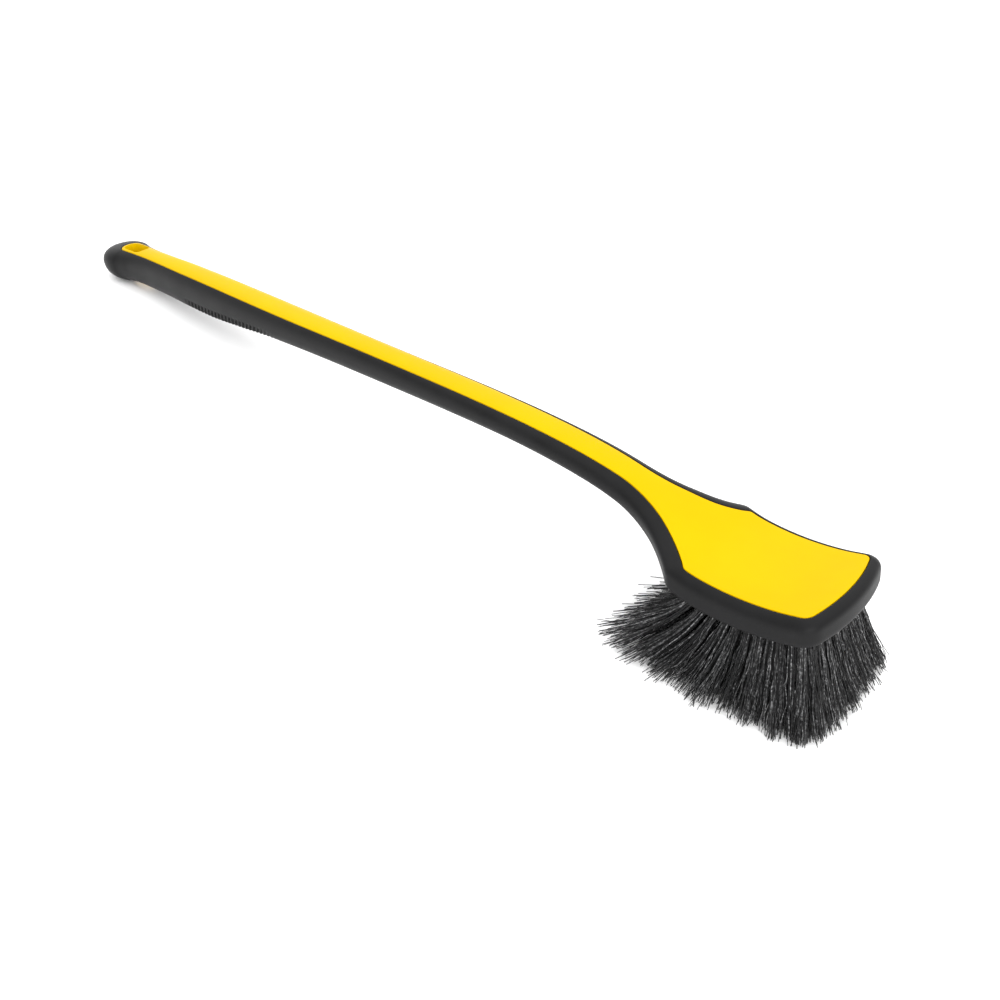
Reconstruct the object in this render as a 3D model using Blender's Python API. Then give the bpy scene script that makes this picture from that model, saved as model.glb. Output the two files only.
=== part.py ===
"""Long-handled wheel brush: a moulded core with a soft overmoulded grip and rim, and staple-set tufts.

Lengths are in millimetres in the brush's own frame and become metres when a mesh is made.  In that
frame X runs forward along the handle, from 0 where the neck meets the head, Y is across and Z is up
from the head's top face.  The whole brush hangs under one empty, which pitches it so that the grip end
and the bristle tips stand on the ground.
"""
import math

import bmesh
import bpy
from mathutils import Matrix, Vector

MM = 0.001
GAP = 0.3                      # clearance between neighbouring pieces

# The brush as it stands
PITCH = math.radians(10.9)     # the head's front is tipped up by this

# Top face, seen from the side: (x, z) of its edge, from the grip end to the head's front
TOP_PROFILE = [(-468, 63.4), (-448, 61.2), (-430, 60.1), (-360, 55.0), (-270, 46.8), (-190, 39.9), (-120, 33.4),
               (-75, 27.4), (-45, 20.9), (-22, 12.2), (-9, 5.6), (2, 1.0), (13, -1.2), (26, -2.0),
               (40, -1.1), (56, 2.0), (62, 3.4)]

# Coloured face of the core: half its width
STRIP_END = -446.0             # rear end of the strip
STRIP_WIDTH = [(-440, 6.3), (-412, 5.6), (-370, 6.5), (-280, 6.8), (-200, 6.1), (-120, 5.9), (-42, 5.8)]
STRIP_END_RADIUS = 6.3
FLARE_START = -42.0            # the neck widens along an arc from here to the kink
HEAD_HALF_WIDTH = 22.8
HEAD_TAPER = 0.8               # narrower by this at the front corners
HEAD_SIDE_END = 48.2
KINK_RADIUS = 2.0
OUTER_KINK_RADIUS = 4.5
KINK_SHIFT = 4.0               # the rim's own kink lies this far behind the coloured face's
FRONT_CORNER_RADIUS = 3.6
FRONT_BULGE = 3.6

# Soft overmould: how far it reaches past the coloured face, and how deep the brush is there
RIM_REACH = [(-440, 7.2), (-433, 5.6), (-422, 4.7), (-400, 4.2), (-345, 4.3), (-310, 4.1), (-260, 3.6),
             (-200, 3.4), (-140, 3.9), (-92, 4.4), (-62, 4.9), (-42, 5.4), (-20, 6.3), (-6, 7.0), (0, 7.2)]
HEAD_RIM = 4.3
DEPTH = [(-452, 21.0), (-430, 22.4), (-400, 23.8), (-350, 25.4), (-318, 23.2), (-285, 20.0), (-250, 18.3),
         (-200, 17.1), (-140, 15.1), (-92, 13.6), (-50, 13.5), (-28, 12.9), (0, 12.1), (30, 11.5), (60, 10.5)]
BULB_CENTRE = -450.0           # the grip ends in a rounded bulb
BULB_LENGTH = 17.8
BULB_HALF_WIDTH = 15.2
BULB_RIBS = 11
SKIN = 2.6                     # thickness of the overmould round the handle
LIP = 1.6                      # the core's edge stands this deep beside the overmould
HANDLE_ROUNDNESS = 2.3         # exponent of the handle's section
RIM_PROFILE = [(0.0, 0.0), (0.30, 0.04), (0.62, 0.13), (0.87, 0.25), (0.98, 0.38), (1.0, 0.56),
               (1.0, 0.80), (0.95, 0.93), (0.80, 0.985), (0.50, 1.0)]
UNDER_ANGLE = math.radians(62)  # the section's side curve ends this far below its middle
CORE_STEPS = 6
RIM_BLEND = (-55.0, 0.0)       # the handle's section turns into the head's over this stretch

# Head block
BLOCK_DEPTH = 9.2              # from the top face to the tufted underside
POCKET_START = -2.0            # the rim's opening begins here
CUTTER_LIFT = 5.0              # the opening's cutter stands out of the rim by this, above and below
HOLE_DEPTH = 6.4
HOLE_RADIUS = 2.5

# Hanging hole, an oblong through the grip end
HANG_CENTRE = -433.4
HANG_HALF_LENGTH = 10.4
HANG_RADIUS = 4.5

# Bristle field: rows run across, columns run along the brush
ROWS = 7
COLUMNS = 4
FIELD_X = (3.0, 49.5)
FIELD_HALF_WIDTH = 21.0
TUFT_LENGTH = 50.0
REAR_LEAN = math.radians(-50)
FRONT_LEAN = math.radians(11)
SIDE_LEAN = (math.radians(35), math.radians(15))   # of the outer columns, at the rear and the front
CORNER_ROUNDING = 0.50         # the tufts lean out less at the front corners, by this share
HOLE_LEAN = 0.45               # the drilled holes lean by this share of the tufts' lean
TUFT_ROOT_RADIUS = 2.2
TUFT_SIDES = 12
TUFT_STATIONS = (0.10, 0.30, 0.65, 1.0)
TUFT_FILL = (0.52, 0.80, 0.90, 0.93)

# Anchors: flat wire staples, driven across each tuft's fold at the bottom of its hole
ANCHOR_SIZE = (0.5, 3.4, 1.6)  # thickness, width, height
SLOT_SIZE = (1.1, 6.0, 2.4)    # the fold in the tuft that takes it


def curve(points):
    """A smooth function through (x, y) points, level past its ends."""
    xs = [p[0] for p in points]
    ys = [p[1] for p in points]
    last = len(points) - 1
    slopes = []
    for i in range(last + 1):
        a, b = max(i - 1, 0), min(i + 1, last)
        slopes.append((ys[b] - ys[a]) / (xs[b] - xs[a]))

    def value(x):
        if x <= xs[0]:
            return ys[0] + slopes[0] * (x - xs[0])
        if x >= xs[-1]:
            return ys[-1] + slopes[-1] * (x - xs[-1])
        i = max(k for k in range(last) if xs[k] <= x)
        h = xs[i + 1] - xs[i]
        t = (x - xs[i]) / h
        return ((2 * t**3 - 3 * t**2 + 1) * ys[i] + (t**3 - 2 * t**2 + t) * h * slopes[i]
                + (3 * t**2 - 2 * t**3) * ys[i + 1] + (t**3 - t**2) * h * slopes[i + 1])

    return value


top_height = curve(TOP_PROFILE)
strip_width = curve(STRIP_WIDTH)
rim_reach = curve(RIM_REACH)
depth_at = curve(DEPTH)


def ease(x, start, end):
    t = min(max((x - start) / (end - start), 0.0), 1.0)
    return t * t * (3 - 2 * t)


def arc(centre, radius, start, end, count):
    """Points along a circular or elliptic arc, angles in degrees."""
    rx, ry = radius if isinstance(radius, tuple) else (radius, radius)
    angles = [math.radians(start + (end - start) * i / (count - 1)) for i in range(count)]
    return [(centre[0] + rx * math.cos(a), centre[1] + ry * math.sin(a)) for a in angles]


def paired_outline():
    """Half of the brush seen from above, from the grip end to the front.

    Each entry pairs a point on the coloured face's edge with the widest point of the overmould there.
    """
    pairs = list(zip(arc((STRIP_END + STRIP_END_RADIUS, 0), STRIP_END_RADIUS, 180, 90, BULB_RIBS),
                     arc((BULB_CENTRE, 0), (BULB_LENGTH, BULB_HALF_WIDTH), 180, 62, BULB_RIBS)))
    for x in (-437, -431, -424, -414, -402, -388, -370, -350, -330, -312, -294, -272, -248, -220, -190, -160, -135,
              -112, -92, -75, -62, -52):
        pairs.append(((x, strip_width(x)), (x, strip_width(x) + rim_reach(x))))

    narrow = strip_width(FLARE_START)
    rise = HEAD_HALF_WIDTH - narrow
    radius = (FLARE_START**2 + rise**2) / (2 * rise)
    kink = math.asin(-FLARE_START / radius)
    for i in range(7):
        a = kink * i / 6.5
        x, y = FLARE_START + radius * math.sin(a), narrow + radius * (1 - math.cos(a))
        reach = rim_reach(x)
        pairs.append(((x, y), (x - reach * math.sin(a), y + reach * math.cos(a))))

    turn = 90 + 0.85 * math.degrees(kink)
    corner = (-KINK_SHIFT, HEAD_HALF_WIDTH + HEAD_RIM - OUTER_KINK_RADIUS)
    pairs += zip(arc((KINK_RADIUS / 3, HEAD_HALF_WIDTH - KINK_RADIUS), KINK_RADIUS, turn, 90, 5),
                 arc(corner, OUTER_KINK_RADIUS, turn, 90, 5))
    for i in (1, 2, 3, 4, 5):
        x = HEAD_SIDE_END * i / 5.6
        y = HEAD_HALF_WIDTH - HEAD_TAPER * x / HEAD_SIDE_END
        pairs.append(((x, y), (x, y + HEAD_RIM)))

    half = HEAD_HALF_WIDTH - HEAD_TAPER
    front_radius = (half**2 + FRONT_BULGE**2) / (2 * FRONT_BULGE)
    tilt = math.degrees(math.asin((half - FRONT_CORNER_RADIUS) / (front_radius - FRONT_CORNER_RADIUS)))
    corner = (HEAD_SIDE_END, half - FRONT_CORNER_RADIUS)
    centre = (corner[0] - (front_radius - FRONT_CORNER_RADIUS) * math.cos(math.radians(tilt)), 0)
    pairs += zip(arc(corner, FRONT_CORNER_RADIUS, 90, tilt, 7),
                 arc(corner, FRONT_CORNER_RADIUS + HEAD_RIM, 90, tilt, 7))
    pairs += list(zip(arc(centre, front_radius, tilt, 0, 6), arc(centre, front_radius + HEAD_RIM, tilt, 0, 6)))[1:]
    return pairs


OUTLINE = paired_outline()
FRONT_POLE = 36.0


def section(pair):
    """What a rib needs to know about the brush where it stands."""
    (x, y), (outer_x, outer_y) = pair
    reach = math.hypot(outer_x - x, outer_y - y)
    pole_x = min(max(x, STRIP_END + STRIP_END_RADIUS), FRONT_POLE)
    length = math.hypot(outer_x - pole_x, outer_y)
    edge = math.hypot(x - pole_x, y) / length
    return {"x": x, "y": y, "nx": (outer_x - x) / reach, "ny": (outer_y - y) / reach, "reach": reach,
            "pole": pole_x, "length": length, "edge": edge, "depth": depth_at(pole_x),
            "head": ease(x, *RIM_BLEND)}


def superellipse(angle):
    """Share of the half width and of the half depth at an angle above the section's middle."""
    power = 2 / HANDLE_ROUNDNESS
    return math.cos(angle) ** power, math.copysign(abs(math.sin(angle)) ** power, angle)


def edge_angle(share):
    return math.acos(share ** (HANDLE_ROUNDNESS / 2))


def blend(a, b, weight):
    return a + (b - a) * weight


def top_points(s, offset=0.0, lift=0.0):
    """From the middle of the coloured face to its edge; it is crowned along the handle."""
    points = []
    rise = 0.5 * s["depth"] * superellipse(edge_angle(s["edge"]))[1]
    for share in (0.0, 0.55, 1.0):
        px = blend(s["pole"], s["x"] + offset * s["nx"], share)
        py = (s["y"] + offset * s["ny"]) * share
        crown = 0.5 * s["depth"] * superellipse(edge_angle(s["edge"] * share))[1] - rise
        points.append((px, py, top_height(px) + crown * (1 - s["head"]) + lift))
    return points


def bottom_points(s, last, middle_drop):
    """From a rib's last point in to the middle of the underside."""
    points = []
    last_drop = top_height(last[0]) - last[2]
    for share in (0.5, 0.0):
        px = blend(s["pole"], last[0], share)
        drop = blend(last_drop, middle_drop, math.cos(share * math.pi / 2))
        points.append((px, last[1] * share, top_height(px) - drop))
    return points


def body_rib(pair):
    """The outer surface: over the edge, round the grip or the rim, and in underneath."""
    s = section(pair)
    start = edge_angle(s["edge"])
    edge_drop = 0.5 * s["depth"] * (1 - superellipse(start)[1])
    points = top_points(s)
    for i, (reach, depth) in enumerate(RIM_PROFILE[1:], 1):
        across, up = superellipse(blend(start, -UNDER_ANGLE, i / (len(RIM_PROFILE) - 1)))
        round_reach = (across - s["edge"]) / (1 - s["edge"])
        round_drop = 0.5 * s["depth"] * (1 - up) - edge_drop
        out = blend(round_reach, reach, s["head"]) * s["reach"]
        px, py = s["x"] + out * s["nx"], s["y"] + out * s["ny"]
        drop = blend(round_drop, depth * s["depth"], s["head"])
        points.append((px, py, top_height(px) - drop))
    return points + bottom_points(s, points[-1], s["depth"] - edge_drop * (1 - s["head"]))


def core_rib(pair, offset=0.0, lift=0.0, pocket=0.0):
    """The core's surface, straight down from its edge and then inside the overmould."""
    s = section(pair)
    edge_drop = 0.5 * s["depth"] * (1 - superellipse(edge_angle(s["edge"]))[1])
    inner = s["length"] - SKIN
    inner_depth = s["depth"] - 2 * SKIN
    points = top_points(s, offset, lift)
    block_depth = BLOCK_DEPTH
    if pocket and s["x"] > POCKET_START:
        block_depth = s["depth"] + pocket
    else:
        block_depth += offset
    start = edge_angle(min(s["edge"] * s["length"] / inner, 1.0))
    for i in range(CORE_STEPS):
        share = i / (CORE_STEPS - 1)
        across, up = superellipse(blend(start, -UNDER_ANGLE, share))
        round_out = across * inner - s["edge"] * s["length"]
        round_drop = 0.5 * s["depth"] - (0.5 * inner_depth) * up - edge_drop
        if i == 0:
            round_drop = max(round_drop, LIP)
        round_drop -= offset * up
        block_drop = blend(LIP, block_depth, share)
        out = offset + round_out * (1 - s["head"])
        px, py = s["x"] + out * s["nx"], s["y"] + out * s["ny"]
        points.append((px, py, top_height(px) - blend(round_drop, block_drop, s["head"])))
    middle = blend(s["depth"] - SKIN - edge_drop + offset, block_depth, s["head"])
    return points + bottom_points(s, points[-1], middle)


def new_object(name, mesh_builder, material):
    """An object under the pitched frame, from a bmesh in millimetres."""
    bm = bmesh.new()
    mesh_builder(bm)
    bmesh.ops.remove_doubles(bm, verts=bm.verts, dist=0.01)
    bmesh.ops.dissolve_degenerate(bm, edges=bm.edges, dist=0.005)
    bmesh.ops.recalc_face_normals(bm, faces=bm.faces)
    bmesh.ops.scale(bm, vec=(MM, MM, MM), verts=bm.verts)
    mesh = bpy.data.meshes.new(name)
    bm.to_mesh(mesh)
    bm.free()
    mesh.shade_smooth()
    mesh.set_sharp_from_angle(angle=math.radians(40))
    obj = bpy.data.objects.new(name, mesh)
    bpy.context.collection.objects.link(obj)
    obj.parent = FRAME
    if material:
        mesh.materials.append(material)
    return obj


def new_material(name, colour, roughness, metallic=0.0):
    material = bpy.data.materials.new(name)
    material.use_nodes = True
    shader = material.node_tree.nodes["Principled BSDF"]
    shader.inputs["Base Color"].default_value = (*colour, 1)
    shader.inputs["Roughness"].default_value = roughness
    shader.inputs["Metallic"].default_value = metallic
    material.diffuse_color = (*colour, 1)
    return material


def helper(obj):
    obj.hide_render = True
    obj.display_type = "WIRE"
    return obj


def cut(obj, cutter):
    modifier = obj.modifiers.new("cut_" + cutter.name, "BOOLEAN")
    modifier.operation = "DIFFERENCE"
    modifier.solver = "EXACT"
    modifier.object = cutter


def ribs_to_mesh(bm, rib):
    """Skin the ribs of both halves of the outline."""
    halves = []
    for side in (1, -1):
        rows = []
        for pair in OUTLINE:
            rows.append([bm.verts.new((px, py * side, pz)) for px, py, pz in rib(pair)])
        halves.append(rows)
    for side, rows in enumerate(halves):
        for a, b in zip(rows, rows[1:]):
            for k in range(len(a) - 1):
                corners = [a[k], b[k], b[k + 1], a[k + 1]]
                bm.faces.new(corners if side else corners[::-1])


def lean(u, v):
    """Direction of the tufts at a place in the bristle field, u and v from 0 to 1."""
    forward = blend(REAR_LEAN, FRONT_LEAN, 1 - (1 - u) ** 1.6)
    sideways = blend(*SIDE_LEAN, u) * (2 * v - 1)
    corner = 1 - CORNER_ROUNDING * (u * abs(2 * v - 1)) ** 3
    return Vector((math.tan(forward) * corner, math.tan(sideways) * corner, -1)).normalized()


def field_root(u, v):
    x = blend(FIELD_X[0], FIELD_X[1], u)
    return Vector((x, blend(-FIELD_HALF_WIDTH, FIELD_HALF_WIDTH, v), top_height(x) - BLOCK_DEPTH))


def ground_level(point):
    """Height over the ground of a point in the brush's frame."""
    return point.x * math.sin(PITCH) + point.z * math.cos(PITCH) + STANDING_HEIGHT


def field_point(u, v, share):
    """A point of the bristle field; the tips stop at the ground."""
    root, way = field_root(u, v), lean(u, v) * TUFT_LENGTH
    tip_level = ground_level(root + way)
    if tip_level < 0:
        way *= ground_level(root) / (ground_level(root) - tip_level)
    return root + way * share


def tuft_frame(row, column):
    """Place in the field, hole direction and two cross directions of a tuft."""
    u, v = (row + 0.5) / ROWS, (column + 0.5) / COLUMNS
    tilt = lean(u, v)
    way = Vector((tilt.x * HOLE_LEAN, tilt.y * HOLE_LEAN, tilt.z)).normalized()
    forward = way.cross(Vector((0, 1, 0))).normalized()
    return u, v, way, forward, forward.cross(way)


def ring(bm, centre, forward, sideways, radius, sides):
    verts = []
    for i in range(sides):
        a = 2 * math.pi * i / sides
        verts.append(bm.verts.new(centre + radius * (forward * math.cos(a) + sideways * math.sin(a))))
    return verts


def skin_rings(bm, rings):
    for a, b in zip(rings, rings[1:]):
        for i in range(len(a)):
            j = (i + 1) % len(a)
            bm.faces.new((a[i], a[j], b[j], b[i]))
    bm.faces.new(rings[0][::-1])
    bm.faces.new(rings[-1])


def tuft_mesh(bm, row, column):
    """A tuft: round in its hole, then spreading to fill its share of the field."""
    u, v, way, forward, sideways = tuft_frame(row, column)
    root = field_root(u, v)
    rings = [ring(bm, root - way * (HOLE_DEPTH - 2 * GAP), forward, sideways, TUFT_ROOT_RADIUS, TUFT_SIDES),
             ring(bm, root, forward, sideways, TUFT_ROOT_RADIUS, TUFT_SIDES)]
    for share, fill in zip(TUFT_STATIONS, TUFT_FILL):
        verts = []
        for i in range(TUFT_SIDES):
            a = 2 * math.pi * i / TUFT_SIDES
            square = 1 / max(abs(math.cos(a)), abs(math.sin(a)))
            size = 0.5 * fill * blend(1.0, square, 0.75 * min(1.0, share * 2))
            place = (u + size * math.cos(a) / ROWS, v + size * math.sin(a) / COLUMNS)
            verts.append(bm.verts.new(field_point(*place, share)))
        rings.append(verts)
    skin_rings(bm, rings)


def hole_mesh(bm, row, column):
    """A drilled hole, a little wider and deeper than its tuft."""
    u, v, way, forward, sideways = tuft_frame(row, column)
    root = field_root(u, v)
    skin_rings(bm, [ring(bm, root - way * HOLE_DEPTH, forward, sideways, HOLE_RADIUS, TUFT_SIDES),
                    ring(bm, root + way * 4, forward, sideways, HOLE_RADIUS, TUFT_SIDES)])


def plate_mesh(bm, row, column, size, back):
    """A flat plate across a tuft's hole, its top `back` behind the block's underside."""
    u, v, way, forward, sideways = tuft_frame(row, column)
    centre = field_root(u, v) - way * (back - size[2] / 2)
    turn = Matrix((forward, sideways, way)).transposed().to_4x4()
    bmesh.ops.create_cube(bm, size=1, matrix=Matrix.Translation(centre) @ turn @ Matrix.Diagonal((*size, 1)))


def hang_mesh(bm, extra):
    """The oblong hanging hole, square to the handle's top face."""
    z = top_height(HANG_CENTRE)
    radius = HANG_RADIUS + extra
    straight = HANG_HALF_LENGTH - HANG_RADIUS
    verts = []
    for level in (z - 60, z + 20):
        loop = []
        for i in range(24):
            a = 2 * math.pi * (i + 0.5) / 24
            shift = math.copysign(straight, math.cos(a))
            loop.append(bm.verts.new((HANG_CENTRE + shift + radius * math.cos(a), radius * math.sin(a), level)))
        verts.append(loop)
    skin_rings(bm, verts)


def standing_height():
    """How high the frame stands, so that the grip end rests on the ground."""
    lowest = min(px * math.sin(PITCH) + pz * math.cos(PITCH)
                 for pair in OUTLINE[:BULB_RIBS + 5] for px, py, pz in body_rib(pair))
    return -lowest


def centre_on_origin(objects):
    """Move the frame so that the middle of the brush's length is over the origin."""
    bpy.context.view_layer.update()
    graph = bpy.context.evaluated_depsgraph_get()
    xs = []
    for obj in objects:
        mesh = obj.evaluated_get(graph).to_mesh()
        xs += [(obj.matrix_world @ vert.co).x for vert in mesh.vertices]
    FRAME.location.x -= (min(xs) + max(xs)) / 2


for old in list(bpy.data.objects):
    bpy.data.objects.remove(old, do_unlink=True)

STANDING_HEIGHT = standing_height()
FRAME = bpy.data.objects.new("brush_frame", None)
bpy.context.collection.objects.link(FRAME)
FRAME.rotation_euler = (0, -PITCH, 0)
FRAME.location = (0, 0, STANDING_HEIGHT * MM)

yellow_plastic = new_material("yellow_plastic", (0.93, 0.68, 0.004), 0.35)
black_rubber = new_material("black_rubber", (0.018, 0.018, 0.020), 0.55)
black_filament = new_material("black_filament", (0.012, 0.012, 0.014), 0.40)
anchor_wire = new_material("anchor_wire", (0.55, 0.50, 0.42), 0.35, 1.0)

core = new_object("handle_core", lambda bm: ribs_to_mesh(bm, core_rib), yellow_plastic)
grip = new_object("grip_overmould", lambda bm: ribs_to_mesh(bm, body_rib), black_rubber)
core_space = helper(new_object(
    "core_space",
    lambda bm: ribs_to_mesh(bm, lambda pair: core_rib(pair, GAP, lift=CUTTER_LIFT, pocket=CUTTER_LIFT)),
    None))
core_hole = helper(new_object("core_hole", lambda bm: hang_mesh(bm, 0), None))
grip_hole = helper(new_object("grip_hole", lambda bm: hang_mesh(bm, GAP), None))
cut(grip, core_space)
cut(grip, grip_hole)
cut(core, core_hole)


def all_holes(bm):
    for row in range(ROWS):
        for column in range(COLUMNS):
            hole_mesh(bm, row, column)


tuft_holes = helper(new_object("tuft_holes", all_holes, None))
cut(core, tuft_holes)

pieces = [core, grip]
for row in range(ROWS):
    for column in range(COLUMNS):
        label = f"row{row + 1}_{column + 1}"
        tuft = new_object("tuft_" + label, lambda bm: tuft_mesh(bm, row, column), black_filament)
        top = HOLE_DEPTH - 2 * GAP
        slot = helper(new_object(
            "fold_" + label, lambda bm: plate_mesh(bm, row, column, SLOT_SIZE, top + GAP), None))
        cut(tuft, slot)
        anchor = new_object(
            "anchor_" + label, lambda bm: plate_mesh(bm, row, column, ANCHOR_SIZE, top - GAP), anchor_wire)
        pieces += [tuft, anchor]

centre_on_origin(pieces)
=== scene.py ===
"""Looks of the long-handled wheel brush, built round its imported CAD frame.

Sizes here are in millimetres in the brush's own frame: X runs forward along the handle, from 0 where
the neck meets the head, Y is across and Z is up from the head's top face.  TO_ROW pitches that frame
and sets it on the floor, in metres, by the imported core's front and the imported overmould's underside.
"""

import math

import bmesh
import bpy
import numpy as np
from mathutils import Matrix, Vector


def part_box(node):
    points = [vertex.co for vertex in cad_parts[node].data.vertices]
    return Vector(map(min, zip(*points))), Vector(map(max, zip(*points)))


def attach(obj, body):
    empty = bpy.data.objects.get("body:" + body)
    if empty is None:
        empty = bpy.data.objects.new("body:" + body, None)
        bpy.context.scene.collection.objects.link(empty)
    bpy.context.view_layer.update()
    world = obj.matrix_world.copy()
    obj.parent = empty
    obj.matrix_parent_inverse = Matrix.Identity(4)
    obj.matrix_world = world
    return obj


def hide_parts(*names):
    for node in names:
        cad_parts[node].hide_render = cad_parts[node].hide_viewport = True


SEED = 11
MM = 0.001
GAP = 0.3                      # clearance between the core and the overmould
PITCH = math.radians(10.9)     # the head's front is tipped up by this

# Top face, seen from the side: (x, z) of its edge
TOP_PROFILE = [(-468, 63.4), (-448, 61.2), (-430, 60.1), (-360, 55.0), (-270, 46.8), (-190, 39.9),
               (-120, 33.4), (-75, 27.4), (-45, 20.9), (-22, 12.2), (-9, 5.6), (2, 1.0), (13, -1.2),
               (26, -2.0), (40, -1.1), (56, 2.0), (62, 3.4)]

# Coloured face of the core: half its width
STRIP_END = -446.0
STRIP_WIDTH = [(-440, 6.3), (-412, 5.6), (-370, 6.5), (-280, 6.8), (-200, 6.1), (-120, 5.9), (-42, 5.8)]
STRIP_END_RADIUS = 6.3
FLARE_START = -42.0            # the strip widens from here in an arc that ends at the head's rear corner
FLARE_SHARE = 6 / 6.5          # the share of that arc that comes before the corner's rounding
HEAD_HALF_WIDTH = 22.8
HEAD_TAPER = 0.8
HEAD_SIDE_START = 2.0
HEAD_SIDE_END = 48.2
HEAD_SIDE_SHARE = 5 / 5.6      # the share of the side that comes before the front corner's rounding
KINK_RADIUS = 2.0              # the head's rear corner, on the seam and outside
KINK_TURN = 0.85
OUTER_KINK_RADIUS = 4.5
KINK_SHIFT = 4.0
FRONT_CORNER_RADIUS = 3.6
FRONT_BULGE = 3.6

# Soft overmould
RIM_REACH = [(-440, 7.2), (-433, 5.6), (-422, 4.7), (-400, 4.2), (-345, 4.3), (-310, 4.1), (-260, 3.6),
             (-200, 3.4), (-140, 3.9), (-92, 4.4), (-62, 4.9), (-42, 5.4), (-20, 6.3), (-6, 7.0), (0, 7.2)]
HEAD_RIM = 4.3
DEPTH = [(-452, 21.0), (-430, 22.4), (-400, 23.8), (-350, 25.4), (-318, 23.2), (-285, 20.0), (-250, 18.3),
         (-200, 17.1), (-140, 15.1), (-92, 13.6), (-50, 13.5), (-28, 12.9), (0, 12.1), (30, 11.5), (60, 10.5)]
BULB_CENTRE = -450.0
BULB_LENGTH = 17.8
BULB_HALF_WIDTH = 15.2
BULB_ARC_END = 62              # degrees from straight ahead at which the bulb runs into the grip
BULB_FRONT = -437.0
HANDLE_ROUNDNESS = 2.3         # power of the superellipse that the grip's cross-section follows
RIM_PROFILE = [(0.0, 0.0), (0.30, 0.04), (0.62, 0.13), (0.87, 0.25), (0.98, 0.38), (1.0, 0.56),
               (1.0, 0.80), (0.95, 0.93), (0.80, 0.985), (0.50, 1.0)]
UNDER_ANGLE = math.radians(62)
RIM_BLEND = (-55.0, 0.0)       # the round grip turns into the head's rim between these
FRONT_POLE = 36.0
EDGE_FILLET = 0.40             # rounding of the two edges that meet at the seam
FILLET_ANGLES = (0.0, 0.4, 0.8, 1.2, math.pi / 2)
SEAM_WALL = 1.2                # the seam's walls have a ring of points this deep
CHANNEL_DEPTH = 2.6            # the overmould's channel that the core's coloured strip lies in
CORE_STRIP_DEPTH = 2.2
BLOCK_DEPTH = 9.2
LIP = 0.5                      # the rim's bottom edge stands this far out from the block
LIP_BEVEL = 0.15
BOTTOM_TURN = 0.25             # the rim's bottom edge turns flat here, as a share of its reach
BOTTOM_DROPS = (0.05, 0.1)     # and sinks this far on its way in

# Band of slanting ribs under the grip
RIBS_FROM = -372.0
RIBS_TO = -272.0
RIBS_FADE = (12.0, 26.0)       # lengths over which the band starts and ends
RIBS_TOP = (0.56, 0.60)        # where it starts, as a share of the way from the seam to the underside
RIB_PITCH = 3.6
RIB_DEPTH = 0.8
RIB_SLANT = 22.0
RIB_STATIONS = 250

# Hanging hole
HANG_CENTRE = -433.4
HANG_HALF_LENGTH = 10.4
HANG_RADIUS = 4.5
EYE_WALL = 1.3                 # the core lines the hole with a wall this thick
EYE_EDGE = 0.6                 # the painted light on the hole's wall starts this far below the face
EYE_LEVELS = ((-1.2, 0), (-18.5, 0))       # (height over the face, extra radius) of that wall
HOLE_LEVELS = ((6, 1.2), (1.2, 0.9), (0.5, 0.45), (-0.1, 0.12), (-0.9, 0), (-30, 0))    # and of the hole
EYE_ROOM_LEVELS = ((-1.4, 0), (-18.8, 0))  # the room for the wall in the overmould
GRIP_HOLE_LEVELS = ((-10, 0), (-30, 0))    # the hole's last stretch, through the overmould

# Bristle field
FIELD_X = (3.0, 49.5)
FIELD_HALF_WIDTH = 21.0
TUFT_LENGTH = 50.0
REAR_LEAN = (math.radians(-57), math.radians(-46))   # on the right and on the left
FRONT_LEAN = math.radians(11)
SIDE_LEAN = (math.radians(35), math.radians(15))     # at the rear and at the front
CORNER_ROUNDING = (0.50, 0.20)                       # of the front corners, right and left
FRONT_SET = math.radians(3.5)                        # the front bristles are pushed a little to the left
HOLE_LEAN = 0.45               # share of the lean that a filament has where it leaves its hole
TUFT_SPREAD = 0.64             # a tuft's fan, as a share of the distance to its neighbours
CELL_SHARE = 0.5               # where a filament is aimed from, as a share of the same distance
KNEE_SHARE = 0.33              # a filament goes on as its hole points for this share of its length
LENGTH_SPREAD = 0.11
FILAMENT_SCATTER = 0.022
TUFT_SCATTER = 0.018
SWAY_WAVES = (1.2, 2.6)        # each filament sways in long waves and is crimped in short ones
SWAY_SIZE = 0.26
CRIMP_WAVES = (3, 5.5)
CRIMP = (0.05, 0.22)
ROW_STAGGER = 0.12             # rows stand this far to one side in turn, in tuft distances

TUFT_ROWS = 11                 # real tufts along and across the head
TUFT_COLUMNS = 9
CAD_ROWS = 7                   # CAD tufts, each of which stands for several real ones
CAD_COLUMNS = 4
FILAMENTS_PER_TUFT = 66
TUFT_RADIUS = 1.6
FILAMENT_RADIUS = 0.24
FILAMENT_STATIONS = 14
FILAMENT_SIDES = 4
TIP_TAPER = 0.62
# The grey filaments are painted glints, standing in for strands that catch the light.
SHADE_BETA = (0.32, 1.3)       # most filaments are near black and a few are grey
FLOOR_CLEARANCE = 0.55
ROOT_SINK = 1.0                # filaments start this deep inside the block

# Stray filaments in the rear rows
STRAYS = 10
STRAY_ROWS = 0.12              # they stand within this share of the field
STRAY_BACK = (0.1, 0.55)
STRAY_UP = (0.0, 0.2)
STRAY_LENGTH = (36, 49)
STRAY_HOLE = (-0.25, 0, -1)    # the way they leave their holes
STRAY_KNEE_SHARE = 0.22

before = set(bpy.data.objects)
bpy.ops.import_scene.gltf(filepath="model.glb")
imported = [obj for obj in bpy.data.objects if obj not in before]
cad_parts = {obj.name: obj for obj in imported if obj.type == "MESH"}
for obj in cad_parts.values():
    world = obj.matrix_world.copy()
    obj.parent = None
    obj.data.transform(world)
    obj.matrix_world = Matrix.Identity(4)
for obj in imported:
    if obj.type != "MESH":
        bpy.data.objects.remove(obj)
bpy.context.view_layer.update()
random = np.random.default_rng(SEED)


# ---------------------------------------------------------------- shape of the moulding

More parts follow.
